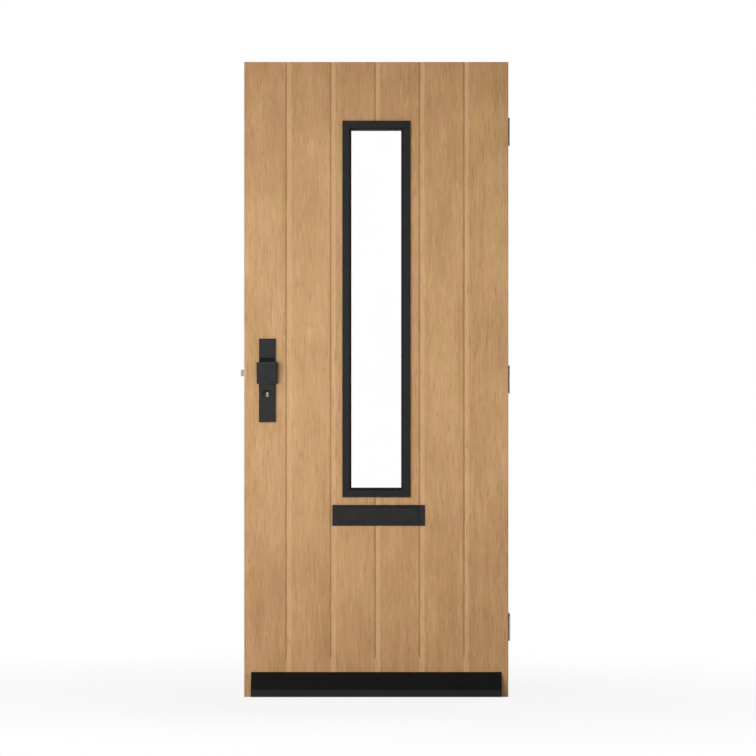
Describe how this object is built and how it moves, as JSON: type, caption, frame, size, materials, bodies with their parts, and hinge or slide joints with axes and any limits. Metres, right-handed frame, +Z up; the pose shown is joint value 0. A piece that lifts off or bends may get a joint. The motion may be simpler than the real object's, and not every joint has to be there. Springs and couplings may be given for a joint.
{
  "type": "oak front door",
  "caption": "Inward-opening grooved oak front door leaf with a tall glazed slot, letterbox, mortice lock, fixed outside pull, inside lever, weather bar and butt hinges.",
  "frame": {"origin": "bottom centre of the leaf, in the middle of its thickness", "axes": "+Z up, +X towards the hinges, -Y towards the outside of the house"},
  "size_m": [0.9002, 0.151, 2.115],
  "materials": {
    "oak": "oiled oak veneer, fine straight grain",
    "black_moulding": "satin black paint",
    "black_metal": "fine-textured matt black coating",
    "steel": "satin stainless",
    "nickel": "nickel plated",
    "glass": "clear float glass",
    "spacer": "mill finish",
    "seal": "matt black",
    "plastic": "matt",
    "foam": "rigid foam board"
  },
  "bodies": {
    "frame_side": {"hinge_frame_flap_bottom": "steel", "hinge_frame_flap_middle": "steel", "hinge_frame_flap_top": "steel", "hinge_pins": "steel"},
    "leaf": {"outer_face_panel": "oak", "inner_face_panel": "oak", "lock_stile": "oak", "hinge_stile": "oak", "top_rail": "oak", "bottom_rail": "oak", "letter_rail": "oak", "window_trimmer_left": "oak", "window_trimmer_right": "oak", "outer_moulding_top": "black_moulding", "outer_moulding_bottom": "black_moulding", "outer_moulding_left": "black_moulding", "outer_moulding_right": "black_moulding", "inner_moulding_top": "black_moulding", "inner_moulding_bottom": "black_moulding", "inner_moulding_left": "black_moulding", "inner_moulding_right": "black_moulding", "letter_plate_outer": "black_metal", "letter_plate_inner": "black_metal", "handle_plate_outer": "black_metal", "pull_block": "black_metal", "handle_plate_inner": "black_metal", "weather_bar": "black_metal", "weather_bar_caps": "black_metal", "lock_forend": "steel", "lock_case": "steel", "lock_cover": "steel", "lock_screws": "steel", "latch_spring": "steel", "cylinder_screw": "steel", "plate_bolts": "steel", "letter_rods": "steel", "letter_bolts": "steel", "hinge_door_flaps": "steel", "hinge_screws": "steel", "cylinder_body": "nickel", "glass_outer": "glass", "glass_inner": "glass", "glass_spacer": "spacer", "letter_sleeve": "spacer", "glazing_gaskets": "seal", "setting_blocks": "plastic", "lever_bush": "plastic", "insulation_boards": "foam"},
    "lever": {"lever_handle": "black_metal", "spindle": "steel", "lock_follower": "steel"},
    "latch": {"latch_bolt": "steel"},
    "thumbturn": {"thumbturn_knob": "black_metal", "thumbturn_shaft": "nickel", "cylinder_cam": "steel"},
    "bolt": {"dead_bolt": "steel"},
    "key": {"key_plug": "nickel", "guard_disc": "black_metal"},
    "outer_flap": {"letter_flap_outer": "black_metal"},
    "inner_flap": {"letter_flap_inner": "black_metal"}
  },
  "joints": [
    {"name": "door_swing", "type": "hinge", "parent": "frame_side", "child": "leaf", "pos_m": [0.44125, 0.0345, 0], "axis": [0, 0, -1], "range_deg": [0, 110]},
    {"name": "lever_turn", "type": "hinge", "parent": "leaf", "child": "lever", "pos_m": [-0.363, 0, 1.079], "axis": [0, 1, 0], "range_deg": [0, 40], "stiffness_Nm_per_rad": 2, "springref_deg": -28.65},
    {"name": "latch_slide", "type": "slide", "parent": "leaf", "child": "latch", "axis": [1, 0, 0], "range_m": [0, 0.012], "deforming": ["latch_spring"]},
    {"name": "thumbturn_turn", "type": "hinge", "parent": "leaf", "child": "thumbturn", "pos_m": [-0.363, 0, 1.007], "axis": [0, 1, 0], "range_deg": [0, 360]},
    {"name": "bolt_slide", "type": "slide", "parent": "leaf", "child": "bolt", "axis": [-1, 0, 0], "range_m": [0, 0.02]},
    {"name": "key_turn", "type": "hinge", "parent": "leaf", "child": "key", "pos_m": [-0.363, 0, 1.007], "axis": [0, 1, 0], "range_deg": [0, 360]},
    {"name": "outer_flap_lift", "type": "hinge", "parent": "leaf", "child": "outer_flap", "pos_m": [0.0075, -0.0333, 0.6295], "axis": [-1, 0, 0], "range_deg": [0, 85], "stiffness_Nm_per_rad": 0.05, "springref_deg": -28.65},
    {"name": "inner_flap_lift", "type": "hinge", "parent": "leaf", "child": "inner_flap", "pos_m": [0.0075, 0.0333, 0.6295], "axis": [1, 0, 0], "range_deg": [0, 85], "stiffness_Nm_per_rad": 0.05, "springref_deg": -28.65}
  ],
  "couplings": [
    {"joint": "latch_slide", "follows": "lever_turn", "m_per_rad": 0.017188},
    {"joint": "thumbturn_turn", "follows": "bolt_slide", "rad_per_m": 314.16},
    {"joint": "key_turn", "follows": "bolt_slide", "rad_per_m": 314.16}
  ]
}
